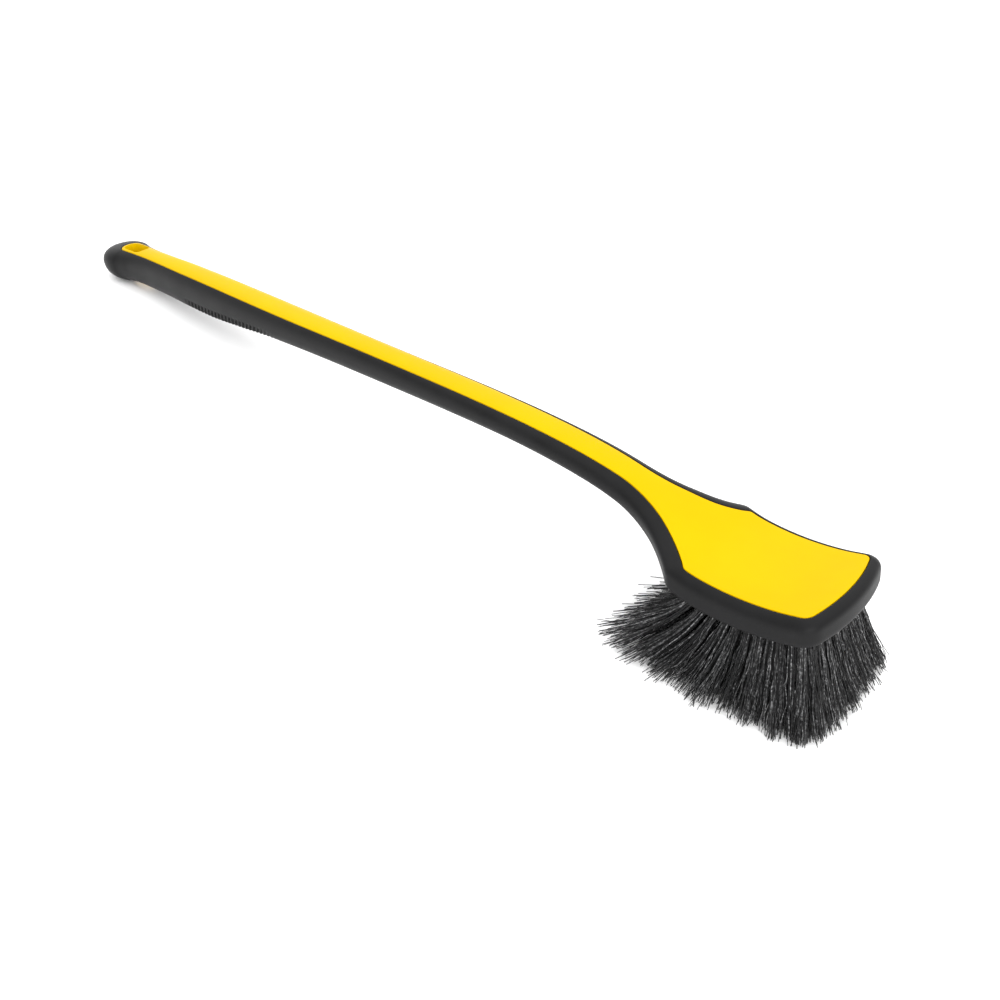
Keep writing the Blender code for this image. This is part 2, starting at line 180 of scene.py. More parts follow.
def curve(points):
    """A smooth function through (x, y) points, straight past its ends."""
    xs = [p[0] for p in points]
    ys = [p[1] for p in points]
    last = len(points) - 1
    slopes = []
    for i in range(last + 1):
        a, b = max(i - 1, 0), min(i + 1, last)
        slopes.append((ys[b] - ys[a]) / (xs[b] - xs[a]))

    def value(x):
        if x <= xs[0]:
            return ys[0] + slopes[0] * (x - xs[0])
        if x >= xs[-1]:
            return ys[-1] + slopes[-1] * (x - xs[-1])
        i = max(k for k in range(last) if xs[k] <= x)
        h = xs[i + 1] - xs[i]
        t = (x - xs[i]) / h
        return ((2 * t**3 - 3 * t**2 + 1) * ys[i] + (t**3 - 2 * t**2 + t) * h * slopes[i]
                + (3 * t**2 - 2 * t**3) * ys[i + 1] + (t**3 - t**2) * h * slopes[i + 1])

    return value


top_height = curve(TOP_PROFILE)
strip_width = curve(STRIP_WIDTH)
rim_reach = curve(RIM_REACH)
depth_at = curve(DEPTH)


def ease(x, start, end):
    t = min(max((x - start) / (end - start), 0.0), 1.0)
    return t * t * (3 - 2 * t)


def blend(a, b, weight):
    return a + (b - a) * weight


def spaced(start, end, count):
    return [start + (end - start) * i / (count - 1) for i in range(count)]


def arc(centre, radius, start, end, count):
    """Points along a circular or elliptic arc, angles in degrees."""
    rx, ry = radius if isinstance(radius, tuple) else (radius, radius)
    angles = [math.radians(a) for a in spaced(start, end, count)]
    return [(centre[0] + rx * math.cos(a), centre[1] + ry * math.sin(a)) for a in angles]


def paired_outline():
    """Half of the brush seen from above: pairs of a point on the seam and the widest point outside it."""
    pairs = list(zip(arc((STRIP_END + STRIP_END_RADIUS, 0), STRIP_END_RADIUS, 180, 90, 22),
                     arc((BULB_CENTRE, 0), (BULB_LENGTH, BULB_HALF_WIDTH), 180, BULB_ARC_END, 22)))
    stations = spaced(BULB_FRONT, RIBS_FROM - 1, 16) + spaced(RIBS_FROM, RIBS_TO, RIB_STATIONS)
    for x in stations + spaced(RIBS_TO + 2, FLARE_START - 4, 66):
        pairs.append(((x, strip_width(x)), (x, strip_width(x) + rim_reach(x))))

    narrow = strip_width(FLARE_START)
    rise = HEAD_HALF_WIDTH - narrow
    radius = (FLARE_START**2 + rise**2) / (2 * rise)
    kink = math.asin(-FLARE_START / radius)
    for share in spaced(0, FLARE_SHARE, 22):
        a = kink * share
        x, y = FLARE_START + radius * math.sin(a), narrow + radius * (1 - math.cos(a))
        reach = rim_reach(x)
        pairs.append(((x, y), (x - reach * math.sin(a), y + reach * math.cos(a))))

    turn = 90 + KINK_TURN * math.degrees(kink)
    corner = (-KINK_SHIFT, HEAD_HALF_WIDTH + HEAD_RIM - OUTER_KINK_RADIUS)
    pairs += zip(arc((KINK_RADIUS / 3, HEAD_HALF_WIDTH - KINK_RADIUS), KINK_RADIUS, turn, 90, 9),
                 arc(corner, OUTER_KINK_RADIUS, turn, 90, 9))
    for x in spaced(HEAD_SIDE_START, HEAD_SIDE_END * HEAD_SIDE_SHARE, 18):
        y = HEAD_HALF_WIDTH - HEAD_TAPER * x / HEAD_SIDE_END
        pairs.append(((x, y), (x, y + HEAD_RIM)))

    half = HEAD_HALF_WIDTH - HEAD_TAPER
    front_radius = (half**2 + FRONT_BULGE**2) / (2 * FRONT_BULGE)
    tilt = math.degrees(math.asin((half - FRONT_CORNER_RADIUS) / (front_radius - FRONT_CORNER_RADIUS)))
    corner = (HEAD_SIDE_END, half - FRONT_CORNER_RADIUS)
    centre = (corner[0] - (front_radius - FRONT_CORNER_RADIUS) * math.cos(math.radians(tilt)), 0)
    pairs += zip(arc(corner, FRONT_CORNER_RADIUS, 90, tilt, 14),
                 arc(corner, FRONT_CORNER_RADIUS + HEAD_RIM, 90, tilt, 14))
    front = zip(arc(centre, front_radius, tilt, 0, 16), arc(centre, front_radius + HEAD_RIM, tilt, 0, 16))
    pairs += list(front)[1:]
    return pairs


OUTLINE = paired_outline()
POCKET_RIB = next(i for i, pair in enumerate(OUTLINE) if pair[0][0] > -3.0)   # the rim's opening starts here


def section(pair):
    """What a rib needs to know about the brush where it stands."""
    (x, y), (outer_x, outer_y) = pair
    reach = math.hypot(outer_x - x, outer_y - y)
    pole_x = min(max(x, STRIP_END + STRIP_END_RADIUS), FRONT_POLE)
    length = math.hypot(outer_x - pole_x, outer_y)
    return {"x": x, "y": y, "nx": (outer_x - x) / reach, "ny": (outer_y - y) / reach, "reach": reach,
            "pole": pole_x, "length": length, "edge": math.hypot(x - pole_x, y) / length,
            "depth": depth_at(pole_x), "head": ease(x, *RIM_BLEND)}


def superellipse(angle):
    """Width and height shares of the grip's cross-section in one direction."""
    power = 2 / HANDLE_ROUNDNESS
    return math.cos(angle) ** power, math.copysign(abs(math.sin(angle)) ** power, angle)


def edge_angle(share):
    """The angle at which the cross-section is `share` of its half width wide."""
    return math.acos(min(share, 1.0) ** (HANDLE_ROUNDNESS / 2))


def at(s, out, drop):
    """A point `out` past the seam and `drop` below the top face there."""
    px, py = s["x"] + out * s["nx"], s["y"] + out * s["ny"]
    return px, py, top_height(px) - drop


def across(s, inset, drop, shares):
    """Points from the seam, or `inset` inside it, to the middle of the rib."""
    points = []
    for share in shares:
        px = blend(s["pole"], s["x"] - inset * s["nx"], share)
        points.append((px, (s["y"] - inset * s["ny"]) * share, top_height(px) - drop(share)))
    return points


reach_share = curve([(i / (len(RIM_PROFILE) - 1), p[0]) for i, p in enumerate(RIM_PROFILE)])
depth_share = curve([(i / (len(RIM_PROFILE) - 1), p[1]) for i, p in enumerate(RIM_PROFILE)])
PROFILE_STEPS = 34
SEARCH_STEP = 0.002
DIAGONAL = 0.7                 # the ribs lie where the surface faces down and out
CROSS_SHARES = (0.97, 0.9, 0.8, 0.66, 0.5, 0.34, 0.17, 0.0)
CROWN_SHARES = (0.0, 0.15, 0.3, 0.45, 0.6, 0.75, 0.88)


def outer_point(s, t):
    """A point of the overmould's outside, t from 0 at the seam to 1 underneath."""
    start = edge_angle(s["edge"])
    edge_drop = 0.5 * s["depth"] * (1 - superellipse(start)[1])
    wide, up = superellipse(blend(start, -UNDER_ANGLE, t))
    round_reach = (wide - s["edge"]) / (1 - s["edge"])
    round_drop = 0.5 * s["depth"] * (1 - up) - edge_drop
    out = blend(round_reach, min(reach_share(t), 1.0), s["head"]) * s["reach"]
    return out, blend(round_drop, max(depth_share(t), 0.0) * s["depth"], s["head"])


def groove(x, t):
    """How far the overmould's surface sinks between the slanting ribs under the grip."""
    along = ease(x, RIBS_FROM, RIBS_FROM + RIBS_FADE[0]) * ease(-x, -RIBS_TO, -RIBS_TO + RIBS_FADE[1])
    band = along * ease(t, *RIBS_TOP)
    wave = 0.5 + 0.5 * math.sin(2 * math.pi * (x + RIB_SLANT * t) / RIB_PITCH)
    return RIB_DEPTH * band * ease(wave, 0.25, 0.75)


def grip_rib(pair):
    """Seam wall, fillet and outside of the overmould, and its depth in the middle underneath."""
    s = section(pair)
    points = [at(s, GAP, CHANNEL_DEPTH), at(s, GAP, SEAM_WALL)]
    for angle in FILLET_ANGLES:
        out = GAP + EDGE_FILLET * (1 - math.cos(angle))
        t = 0.0
        while outer_point(s, t)[0] < out:
            t += SEARCH_STEP
        points.append(at(s, out, outer_point(s, t)[1] + EDGE_FILLET * (1 - math.sin(angle))))
    first = t
    for i in range(1, PROFILE_STEPS + 1):
        t = blend(first, 1.0, i / PROFILE_STEPS)
        out, drop = outer_point(s, t)
        sink = DIAGONAL * groove(s["x"], t)
        points.append(at(s, out - sink, drop - sink))
    edge_drop = 0.5 * s["depth"] * (1 - superellipse(edge_angle(s["edge"]))[1])
    return s, points, s["depth"] - edge_drop * (1 - s["head"])


def crown(s, share):
    """Rise of the coloured face above its edge: it is crowned along the handle and flat on the head."""
    rise = superellipse(edge_angle(s["edge"]))[1]
    return 0.5 * s["depth"] * (superellipse(edge_angle(s["edge"] * share))[1] - rise) * (1 - s["head"])


def mirrored(point):
    return point[0], -point[1], point[2]


def skin(bm, rows):
    """Skin rows of points of equal length, for both halves of the brush."""
    for side in (1, -1):
        grid = [[bm.verts.new(p if side == 1 else mirrored(p)) for p in row] for row in rows]
        for a, b in zip(grid, grid[1:]):
            for k in range(len(a) - 1):
                corners = [a[k], b[k], b[k + 1], a[k + 1]]
                bm.faces.new(corners if side == -1 else corners[::-1])


def grip_mesh(bm):
    """The overmould: a channel round the core along the handle, open underneath as a rim round the head."""
    handle, head = [], []
    for i, pair in enumerate(OUTLINE):
        s, points, middle_drop = grip_rib(pair)
        last = points[-1]
        last_drop = top_height(last[0]) - last[2]
        floor = across(s, -GAP, lambda share: CHANNEL_DEPTH, CROSS_SHARES)[::-1]
        under = []
        for share in CROSS_SHARES:
            px = blend(s["pole"], last[0], share)
            drop = blend(last_drop, middle_drop, math.cos(share * math.pi / 2))
            under.append((px, last[1] * share, top_height(px) - drop))
        wall_drop = min(last_drop + BOTTOM_DROPS[1], s["depth"])
        wall = [at(s, BOTTOM_TURN * s["reach"] + GAP, last_drop + BOTTOM_DROPS[0]),
                at(s, GAP + LIP, wall_drop), at(s, GAP + LIP_BEVEL, wall_drop - LIP_BEVEL),
                at(s, GAP, wall_drop - LIP), at(s, GAP, BLOCK_DEPTH), points[0]]
        if i <= POCKET_RIB:
            handle.append(floor + points + under)
        if i >= POCKET_RIB:
            head.append(points + wall)
        if i == POCKET_RIB:
            end = floor + wall[::-1][1:] + [last] + under
            loop = end + [mirrored(p) for p in end[-2:0:-1]]
    skin(bm, handle)
    skin(bm, head)
    bm.faces.new([bm.verts.new(p) for p in loop][::-1])


def core_mesh(bm):
    """The core: a crowned strip along the handle, and the block that holds the bristles under the head."""
    rows = []
    for i, pair in enumerate(OUTLINE):
        s = section(pair)
        bottom = CORE_STRIP_DEPTH if i <= POCKET_RIB else BLOCK_DEPTH
        points = across(s, 0.0, lambda share: -crown(s, share), CROWN_SHARES)
        for angle in FILLET_ANGLES[::-1]:
            inset = EDGE_FILLET * (1 - math.cos(angle))
            drop = EDGE_FILLET * (1 - math.sin(angle)) - crown(s, 1 - inset / s["length"])
            points.append(at(s, -inset, drop))
        points += [at(s, 0, SEAM_WALL), at(s, 0, bottom)]
        points += across(s, 0, lambda share: bottom, CROSS_SHARES)
        rows.append(points)
    skin(bm, rows)


def oblong(bm, extra, levels):
    """An upright oblong prism at the hanging hole; levels are (height over the face, extra radius)."""
    rings = []
    for height, wider in levels:
        radius = HANG_RADIUS + extra + wider
        straight = HANG_HALF_LENGTH - HANG_RADIUS
        ring = []
        for end, start in ((1, -90), (-1, 90)):
            for x, y in arc((end * straight, 0), radius, start, start + 180, 17):
                px = HANG_CENTRE + x
                ring.append(bm.verts.new((px, y, top_height(px) + height)))
        rings.append(ring)
    for a, b in zip(rings, rings[1:]):
        for i in range(len(a)):
            j = (i + 1) % len(a)
            bm.faces.new((a[i], a[j], b[j], b[i]))
    bm.faces.new(rings[0][::-1])
    bm.faces.new(rings[-1])


# ---------------------------------------------------------------- placing pieces in the row frame

BULB_PAIRS = 30
BELLY = (-452.0, -300.0)
MERGE_DISTANCE = 0.004
SMOOTH_ANGLE = 34


def brush_to_row():
    """The pitched frame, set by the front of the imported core.

    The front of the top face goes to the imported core's foremost point, which is the lower edge of its
    block.  So the pieces made here stand about 1.7 mm further forward than the solids they replace.
    """
    turn = Matrix.Rotation(-PITCH, 4, "Y")
    core_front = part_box("handle_core")[1].x
    corners = [turn @ Vector((pair[0][0], pair[0][1], top_height(pair[0][0]))) for pair in OUTLINE]
    front = max(p.x for p in corners)
    grip_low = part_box("grip_overmould")[0].z
    bulb_low = min((turn @ Vector(p)).z for pair in OUTLINE[:BULB_PAIRS] for p in grip_rib(pair)[1])
    belly_low = min((turn @ Vector((x, 0, top_height(x) - depth_at(x)))).z for x in spaced(*BELLY, 60))
    lowest = min(bulb_low, belly_low)
    shift = Vector((core_front - front * MM, 0, grip_low - lowest * MM))
    return Matrix.Translation(shift) @ turn @ Matrix.Scale(MM, 4)


TO_ROW = brush_to_row()


def row_object(name, builder, material):
    """A smooth piece of the brush from a bmesh in the brush's own frame."""
    bm = bmesh.new()
    builder(bm)
    bmesh.ops.remove_doubles(bm, verts=bm.verts, dist=MERGE_DISTANCE)
    bmesh.ops.dissolve_degenerate(bm, edges=bm.edges, dist=MERGE_DISTANCE / 2)
    bmesh.ops.recalc_face_normals(bm, faces=bm.faces)
    bmesh.ops.transform(bm, matrix=TO_ROW, verts=bm.verts)
    mesh = bpy.data.meshes.new(name)
    bm.to_mesh(mesh)
    bm.free()
    mesh.shade_smooth()
    obj = bpy.data.objects.new(name, mesh)
    bpy.context.scene.collection.objects.link(obj)
    if material:
        mesh.materials.append(material)
    return obj


def boolean(obj, operation, builder):
    """Apply an exact Boolean with a shape that is then gone."""
    cutter = row_object("cutter", builder, None)
    modifier = obj.modifiers.new("cut", "BOOLEAN")
    modifier.operation = operation
    modifier.solver = "EXACT"
    modifier.object = cutter
    made = bpy.data.meshes.new_from_object(obj.evaluated_get(bpy.context.evaluated_depsgraph_get()))
    obj.modifiers.clear()
    obj.data = made
    bpy.data.objects.remove(cutter)


def finish_edges(obj):
    obj.data.shade_smooth()
    obj.data.set_sharp_from_angle(angle=math.radians(SMOOTH_ANGLE))


def mark_hole(obj):
    """Mark the wall of the hanging hole, which is painted a lighter yellow than the face as painted light in
    the recess.
    """
    back = TO_ROW.inverted()
    inside = obj.data.attributes.new("inside", "FLOAT", "POINT")
    for vertex, mark in zip(obj.data.vertices, inside.data):
        x, y, z = back @ vertex.co
        near = abs(x - HANG_CENTRE) < HANG_HALF_LENGTH + 0.2 and abs(y) < HANG_RADIUS + 0.2
        mark.value = float(near and z < top_height(x) - EYE_EDGE)


# ---------------------------------------------------------------- materials

class Nodes:
    """A material's node tree, with short ways to add and link nodes."""

    def __init__(self, name):
        self.material = bpy.data.materials.new(name)
        self.material.use_nodes = True
        self.tree = self.material.node_tree
        self.shader = self.tree.nodes["Principled BSDF"]

    def add(self, kind, **values):
        node = self.tree.nodes.new(kind)
        for key, value in values.items():
            if key in node.inputs.keys():
                node.inputs[key].default_value = value
            else:
                setattr(node, key, value)
        return node

    def link(self, out, into):
        self.tree.links.new(out, into)

    def position(self):
        """Object coordinates in millimetres."""
        coordinates = self.add("ShaderNodeTexCoord")
        sized = self.add("ShaderNodeVectorMath", operation="SCALE", Scale=1 / MM)
        self.link(coordinates.outputs["Object"], sized.inputs[0])
        return sized.outputs[0]

    def noise(self, place, scale, detail=3.0):
        """Fractal noise with `scale` cells in a millimetre."""
        node = self.add("ShaderNodeTexNoise", Scale=scale, Detail=detail, Roughness=0.55)
        self.link(place, node.inputs["Vector"])
        return node.outputs["Fac"]

    def span(self, value, low, high, new_low=0.0, new_high=1.0):
        """`value` eased from low..high to new_low..new_high."""
        node = self.add("ShaderNodeMapRange")
        node.interpolation_type = "SMOOTHSTEP"
        for key, number in zip(("From Min", "From Max", "To Min", "To Max"), (low, high, new_low, new_high)):
            node.inputs[key].default_value = number
        self.link(value, node.inputs["Value"])
        return node.outputs["Result"]

    def attribute(self, name):
        return self.add("ShaderNodeAttribute", attribute_name=name).outputs["Fac"]

    def maths(self, operation, a, b):
        node = self.add("ShaderNodeMath", operation=operation)
        for socket, value in zip(node.inputs, (a, b)):
            if isinstance(value, (int, float)):
                socket.default_value = value
            else:
                self.link(value, socket)
        return node.outputs[0]

    def mix_colour(self, factor, a, b):
        """From a to b, each a colour or another node's output."""
        node = self.add("ShaderNodeMix", data_type="RGBA")
        self.link(factor, node.inputs["Factor"])
        for socket, colour in ((node.inputs["A"], a), (node.inputs["B"], b)):
            if isinstance(colour, tuple):
                socket.default_value = (*colour, 1)
            else:
                self.link(colour, socket)
        return node.outputs["Result"]

    def bump(self, height, distance):
        node = self.add("ShaderNodeBump", Strength=1.0, Distance=distance * MM)
        self.link(height, node.inputs["Height"])
        return node.outputs["Normal"]


def yellow_plastic():
    """Smooth moulded polypropylene: faint flow mottling, a very fine grain, and painted light that gives the
    hole's wall a lighter yellow.
    """
    n = Nodes("yellow_plastic")
    place = n.position()
    mottle = n.noise(place, 0.03)
    grain = n.noise(place, 2.2)
    face = n.mix_colour(n.span(mottle, 0.35, 0.65), (0.58, 0.355, 0.0), (0.58, 0.370, 0.0))
    # Painted light: the hole's wall gets a lighter yellow than the face.
    n.link(n.mix_colour(n.attribute("inside"), face, (0.70, 0.48, 0.0)), n.shader.inputs["Base Color"])
    n.link(n.span(mottle, 0.3, 0.7, 0.30, 0.38), n.shader.inputs["Roughness"])
    n.link(n.bump(grain, 0.012), n.shader.inputs["Normal"])
    n.shader.inputs["Specular IOR Level"].default_value = 0.03
    return n.material


def black_rubber():
    """Soft-touch overmould with a fine matte grain."""
    n = Nodes("black_rubber")
    place = n.position()
    grain = n.noise(place, 3.5, 2.0)
    cloud = n.noise(place, 0.06)
    n.link(n.mix_colour(n.span(cloud, 0.3, 0.7), (0.0055, 0.0055, 0.0058), (0.008, 0.008, 0.0084)),
           n.shader.inputs["Base Color"])
    n.link(n.span(cloud, 0.3, 0.7, 0.40, 0.48), n.shader.inputs["Roughness"])
    n.link(n.bump(grain, 0.03), n.shader.inputs["Normal"])
    n.shader.inputs["Specular IOR Level"].default_value = 0.11
    return n.material


def black_filament():
    """Drawn polymer filament, near black: a few filaments, and spots along them, are painted grey as glints,
    and the gloss changes slightly along each one.
    """
    n = Nodes("black_filament")
    place = n.position()
    # Painted glints: spots along the grey filaments are lighter, standing in for light catching the strands;
    # the same noise also sets the gloss.
    glints_and_gloss = n.span(n.noise(place, 0.9), 0.45, 0.62)
    shade = n.maths("MULTIPLY", n.attribute("shade"), n.maths("ADD", n.maths("MULTIPLY", glints_and_gloss, 0.85), 0.15))
    n.link(n.mix_colour(shade, (0.002, 0.002, 0.0022), (0.32, 0.32, 0.325)), n.shader.inputs["Base Color"])
    n.link(n.span(glints_and_gloss, 0.0, 1.0, 0.42, 0.28), n.shader.inputs["Roughness"])
    n.shader.inputs["Specular IOR Level"].default_value = 0.25
    return n.material


def anchor_wire():
    """Drawn flat wire of a warm pale metal, with fine streaks."""
    n = Nodes("anchor_wire")
    place = n.position()
    streak = n.noise(place, 6.0)
    n.link(n.mix_colour(streak, (0.42, 0.36, 0.25), (0.62, 0.56, 0.44)), n.shader.inputs["Base Color"])
    n.link(n.span(streak, 0.3, 0.7, 0.28, 0.42), n.shader.inputs["Roughness"])
    n.shader.inputs["Metallic"].default_value = 1.0
    return n.material


YELLOW = yellow_plastic()
RUBBER = black_rubber()
FILAMENT = black_filament()
WIRE = anchor_wire()

# ---------------------------------------------------------------- the moulding

core = row_object("core_moulding", core_mesh, YELLOW)
boolean(core, "UNION", lambda bm: oblong(bm, EYE_WALL, EYE_LEVELS))
boolean(core, "DIFFERENCE", lambda bm: oblong(bm, 0, HOLE_LEVELS))
finish_edges(core)
mark_hole(core)
grip = row_object("grip_moulding", grip_mesh, RUBBER)
boolean(grip, "DIFFERENCE", lambda bm: oblong(bm, EYE_WALL + GAP, EYE_ROOM_LEVELS))
boolean(grip, "DIFFERENCE", lambda bm: oblong(bm, GAP, GRIP_HOLE_LEVELS))
finish_edges(grip)

for piece, node, slot in ((core, "handle_core", "yellow_plastic"), (grip, "grip_overmould", "black_rubber")):
    piece.data.materials.clear()
    piece.data.materials.append(YELLOW if slot == "yellow_plastic" else RUBBER)
    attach(piece, "root")
    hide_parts(node)

# ---------------------------------------------------------------- bristles


def lean(u, v):
    """Directions of the filaments at places in the field, as arrays of unit vectors."""
    forward = blend(blend(*REAR_LEAN, np.clip(v, 0, 1)), FRONT_LEAN, 1 - (1 - np.clip(u, 0, 1)) ** 2)
    sideways = blend(*SIDE_LEAN, np.clip(u, 0, 1)) * (2 * v - 1) + FRONT_SET * np.clip(u, 0, 1)
    corner = 1 - blend(*CORNER_ROUNDING, np.clip(v, 0, 1)) * (np.clip(u, 0, 1) * np.abs(2 * v - 1)) ** 3
    way = np.stack([np.tan(forward) * corner, np.tan(sideways) * corner, -np.ones_like(u)], -1)
    return way / np.linalg.norm(way, axis=-1, keepdims=True)


def block_face(u, v):
    """Points on the underside of the block at places in the field."""
    x = blend(*FIELD_X, u)
    z = np.array([top_height(t) for t in x]) - BLOCK_DEPTH
    return np.stack([x, blend(-FIELD_HALF_WIDTH, FIELD_HALF_WIDTH, v), z], -1)


def ground_level(points):
    """Height over the floor of points in the brush's frame, in millimetres."""
    up = np.array(TO_ROW)[2]
    return (points @ up[:3] + up[3]) / MM


def filament_lines(u, v, count):
    """Centre lines of one tuft's filaments, count x stations x 3, in the brush's frame."""
    angle = random.uniform(0, 2 * math.pi, count)
    radial = np.sqrt(random.uniform(0, 1, count))
    along, aside = radial * np.cos(angle), radial * np.sin(angle)
    way = lean(u + TUFT_SPREAD * along / TUFT_ROWS, v + TUFT_SPREAD * aside / TUFT_COLUMNS)
    way += random.normal(0, FILAMENT_SCATTER, (count, 3)) + random.normal(0, TUFT_SCATTER, 3)
    middle = lean(np.array([u]), np.array([v]))[0]
    hole = np.array([middle[0] * HOLE_LEAN, middle[1] * HOLE_LEAN, middle[2]])
    hole /= np.linalg.norm(hole)
    start = block_face(np.full(count, u), np.full(count, v))
    start[:, 0] += TUFT_RADIUS * along
    start[:, 1] += TUFT_RADIUS * aside
    cell = block_face(np.clip(u + CELL_SHARE * along / TUFT_ROWS, -0.1, 1.1),
                      v + CELL_SHARE * aside / TUFT_COLUMNS)
    length = TUFT_LENGTH * (1 - LENGTH_SPREAD * random.beta(1.2, 2.6, count))
    tip = cell + way * length[:, None]
    below = ground_level(tip)
    clear = FLOOR_CLEARANCE + random.gamma(1.4, 0.9, count)
    high = ground_level(start)
    share = np.where(below < clear, (high - clear) / (high - below), 1.0)
    tip = cell + (tip - cell) * share[:, None]
    knee = start + hole * (length * KNEE_SHARE)[:, None]
    t = np.linspace(0, 1, FILAMENT_STATIONS)[None, :, None]
    line = (1 - t) ** 2 * start[:, None] + 2 * t * (1 - t) * knee[:, None] + t**2 * tip[:, None]
    phase = random.uniform(0, 2 * math.pi, (count, 1, 2))
    pace = random.uniform(*SWAY_WAVES, (count, 1, 2))
    size = random.gamma(2.0, SWAY_SIZE, (count, 1, 1)) * t**1.3
    sway = np.sin(2 * math.pi * pace * t + phase) * size
    crimp = np.sin(2 * math.pi * random.uniform(*CRIMP_WAVES, (count, 1, 2)) * t + phase[:, :, ::-1])
    crimp_size = random.uniform(*CRIMP, (count, 1, 1)) * np.minimum(1, 3 * t) * (1 + 1.2 * t**2)
    line[:, :, :2] += sway + crimp * crimp_size
    line[:, 0] -= hole * ROOT_SINK
    return line


def stray_lines(count):
    """Filaments bent back and up out of the rear rows by use."""
    u = random.uniform(0.0, STRAY_ROWS, count)
    v = np.clip(random.beta(0.7, 0.7, count), 0, 1)
    start = block_face(u, v)
    way = lean(u, v)
    way[:, 0] -= random.uniform(*STRAY_BACK, count)
    way[:, 2] += random.uniform(*STRAY_UP, count)
    way /= np.linalg.norm(way, axis=1, keepdims=True)
    length = random.uniform(*STRAY_LENGTH, count)
    tip = start + way * length[:, None]
    knee = start + np.array(STRAY_HOLE) * (length * STRAY_KNEE_SHARE)[:, None]
    t = np.linspace(0, 1, FILAMENT_STATIONS)[None, :, None]
    return (1 - t) ** 2 * start[:, None] + 2 * t * (1 - t) * knee[:, None] + t**2 * tip[:, None]


def tube_mesh(name, lines):
    """One mesh of thin tubes along centre lines, each tapering a little to its tip."""
    count, stations, _ = lines.shape
    tangent = np.gradient(lines, axis=1)
    tangent /= np.linalg.norm(tangent, axis=2, keepdims=True)
    side = np.cross(tangent, np.array([1.0, 0.3, 0.1]))
    side /= np.linalg.norm(side, axis=2, keepdims=True)
    other = np.cross(tangent, side)
    turn = 2 * math.pi * np.arange(FILAMENT_SIDES) / FILAMENT_SIDES
    radius = FILAMENT_RADIUS * random.uniform(0.8, 1.25, (count, 1, 1, 1))
    taper = np.linspace(1, TIP_TAPER, stations)[None, :, None, None]
    cosine, sine = np.cos(turn)[None, None, :, None], np.sin(turn)[None, None, :, None]
    around = side[:, :, None] * cosine + other[:, :, None] * sine
    points = lines[:, :, None] + around * radius * taper
    matrix = np.array(TO_ROW)
    points = points.reshape(-1, 3) @ matrix[:3, :3].T + matrix[:3, 3]
    index = np.arange(count * stations * FILAMENT_SIDES).reshape(count, stations, FILAMENT_SIDES)
    beside = np.roll(index, -1, axis=2)
    quads = np.stack([index[:, :-1], beside[:, :-1], beside[:, 1:], index[:, 1:]], -1).reshape(-1, 4)
    faces = np.concatenate([quads, index[:, -1]])
    mesh = bpy.data.meshes.new(name)
    mesh.vertices.add(len(points))
    mesh.vertices.foreach_set("co", points.astype(np.float32).ravel())
    mesh.loops.add(faces.size)
    mesh.loops.foreach_set("vertex_index", faces.astype(np.int32).ravel())
    mesh.polygons.add(len(faces))
    mesh.polygons.foreach_set("loop_start", np.arange(0, faces.size, 4, dtype=np.int32))
    mesh.update(calc_edges=True)
    mesh.validate()
    mesh.shade_smooth()
    # Each filament's tone, grey for a few: painted glints on strands that catch the light.
    shade = mesh.attributes.new("shade", "FLOAT", "POINT")
    shades = np.repeat(random.beta(*SHADE_BETA, count), stations * FILAMENT_SIDES)
    shade.data.foreach_set("value", shades.astype(np.float32))
    mesh.materials.append(FILAMENT)
    return mesh


lines_of_row = [[] for _ in range(CAD_ROWS)]
for i in range(TUFT_ROWS):
    for j in range(TUFT_COLUMNS):
        u = (i + 0.5) / TUFT_ROWS
        v = (j + 0.5 + (ROW_STAGGER if i % 2 else -ROW_STAGGER)) / TUFT_COLUMNS
        lines_of_row[min(int(u * CAD_ROWS), CAD_ROWS - 1)].append(filament_lines(u, v, FILAMENTS_PER_TUFT))
lines_of_row[0].append(stray_lines(STRAYS))

for row, lines in enumerate(lines_of_row, 1):
    name = f"bristle_row{row}"
    bristles = bpy.data.objects.new(name, tube_mesh(name, np.concatenate(lines)))
    bpy.context.scene.collection.objects.link(bristles)
    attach(bristles, "root")
    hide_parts(*[f"tuft_row{row}_{column}" for column in range(1, CAD_COLUMNS + 1)])

for name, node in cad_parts.items():
    if name.startswith("anchor"):
        node.data.materials.clear()
        node.data.materials.append(WIRE)

# ---------------------------------------------------------------- stage

FLOOR_SIZE = 12.0
CAMERA_PLACE = (0.3398, -0.2661, 0.3066)
CAMERA_AZIMUTH = math.radians(43.80)
CAMERA_ELEVATION = math.radians(39.82)
LENS = 36.0
SKY_BRIGHTEST = (-0.15, 0.18, 0.95)
SKY_DIM = 0.37
SKY_BRIGHT = 2.35
SKY_HORIZON = 1.02
SKY_SPREAD = (0.10, 0.80)      # cosine of the angle from the brightest place: from dim to bright
HORIZON_BAND = (0.40, 0.62)    # height at which the bright band round the horizon ends


def floor_material():
    n = Nodes("studio_floor")
    place = n.position()
    n.link(n.mix_colour(n.noise(place, 0.004), (0.90, 0.90, 0.90), (0.93, 0.93, 0.93)),
           n.shader.inputs["Base Color"])
    n.shader.inputs["Roughness"].default_value = 0.8
    n.shader.inputs["Specular IOR Level"].default_value = 0.1
    return n.material


def add_floor():
    mesh = bpy.data.meshes.new("studio_floor")
    half = FLOOR_SIZE / 2
    corners = [(-half, -half, 0), (half, -half, 0), (half, half, 0), (-half, half, 0)]
    mesh.from_pydata(corners, [], [(0, 1, 2, 3)])
    mesh.materials.append(floor_material())
    floor = bpy.data.objects.new("studio_floor", mesh)
    bpy.context.scene.collection.objects.link(floor)


def add_light(name, place, target, size, watts):
    light = bpy.data.lights.new(name, "AREA")
    light.shape = "RECTANGLE"
    light.size, light.size_y = size
    light.energy = watts
    lamp = bpy.data.objects.new(name, light)
    lamp.location = place
    lamp.rotation_euler = (Vector(target) - Vector(place)).to_track_quat("-Z", "Y").to_euler()
    bpy.context.scene.collection.objects.link(lamp)


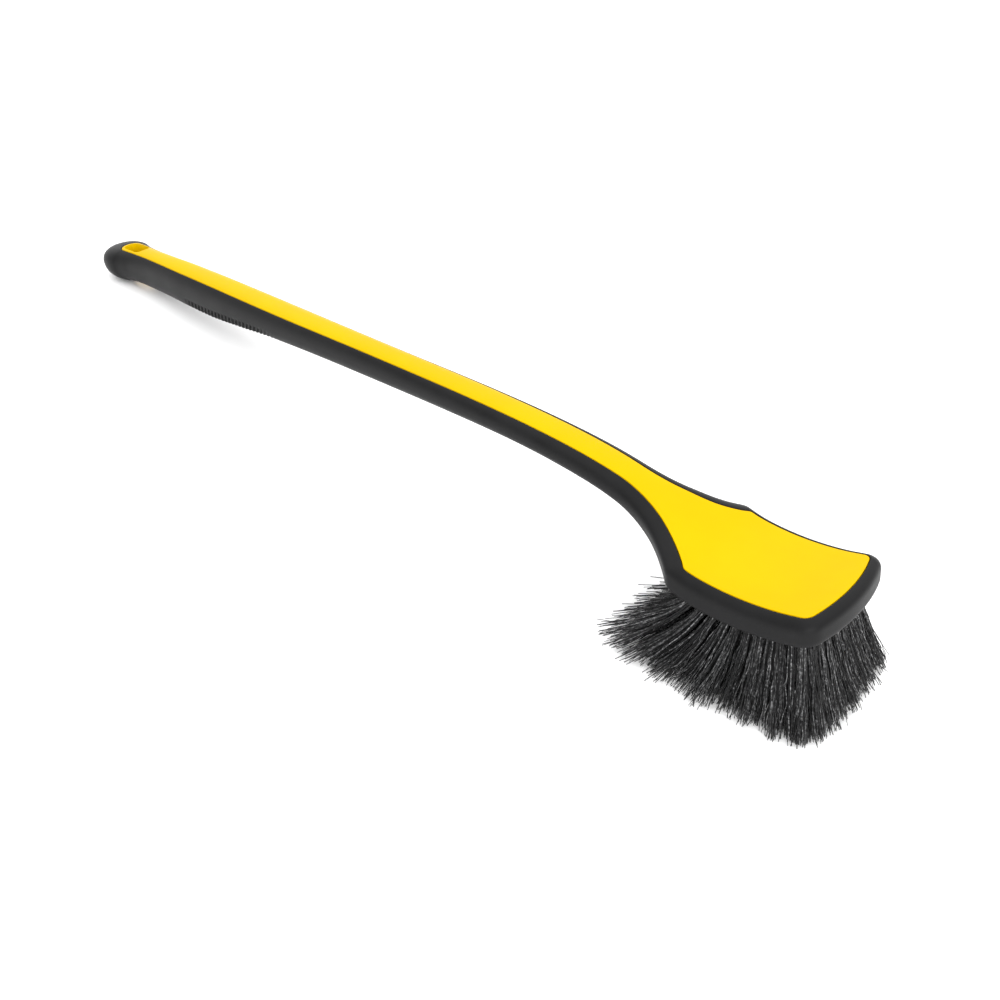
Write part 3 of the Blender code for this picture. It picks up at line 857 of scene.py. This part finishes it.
def add_camera():
    data = bpy.data.cameras.new("camera")
    data.lens = LENS
    data.sensor_width = 36.0
    data.clip_start = 0.01
    camera = bpy.data.objects.new("camera", data)
    camera.location = CAMERA_PLACE
    level = math.cos(CAMERA_ELEVATION)
    aside, ahead = math.sin(CAMERA_AZIMUTH) * level, math.cos(CAMERA_AZIMUTH) * level
    way = Vector((-aside, ahead, -math.sin(CAMERA_ELEVATION)))
    camera.rotation_euler = way.to_track_quat("-Z", "Y").to_euler()
    bpy.context.scene.collection.objects.link(camera)
    bpy.context.scene.camera = camera


def studio_world():
    """A white studio: bright overhead and all round the horizon, dimmer in between for dark surfaces."""
    world = bpy.data.worlds.new("studio")
    world.use_nodes = True
    tree = world.node_tree

    def ramp(value, low, high, start, end):
        node = tree.nodes.new("ShaderNodeMapRange")
        node.interpolation_type = "SMOOTHSTEP"
        for key, number in (("From Min", low), ("From Max", high), ("To Min", start), ("To Max", end)):
            node.inputs[key].default_value = number
        tree.links.new(value, node.inputs["Value"])
        return node.outputs["Result"]

    direction = tree.nodes.new("ShaderNodeTexCoord").outputs["Generated"]
    toward = tree.nodes.new("ShaderNodeVectorMath")
    toward.operation = "DOT_PRODUCT"
    toward.inputs[1].default_value = Vector(SKY_BRIGHTEST).normalized()
    tree.links.new(direction, toward.inputs[0])
    height = tree.nodes.new("ShaderNodeSeparateXYZ")
    tree.links.new(direction, height.inputs[0])
    brightest = tree.nodes.new("ShaderNodeMath")
    brightest.operation = "MAXIMUM"
    tree.links.new(ramp(toward.outputs["Value"], *SKY_SPREAD, SKY_DIM, SKY_BRIGHT), brightest.inputs[0])
    tree.links.new(ramp(height.outputs["Z"], *HORIZON_BAND, SKY_HORIZON, SKY_DIM), brightest.inputs[1])
    tree.links.new(brightest.outputs[0], tree.nodes["Background"].inputs["Strength"])
    tree.nodes["Background"].inputs["Color"].default_value = (1, 1, 1, 1)
    bpy.context.scene.world = world


add_floor()
studio_world()
bpy.context.scene.view_settings.view_transform = "Standard"
add_light("front", place=(0.78, -0.62, 0.32), target=(0.23, 0, 0.02), size=(0.6, 0.4), watts=4.5)
add_camera()
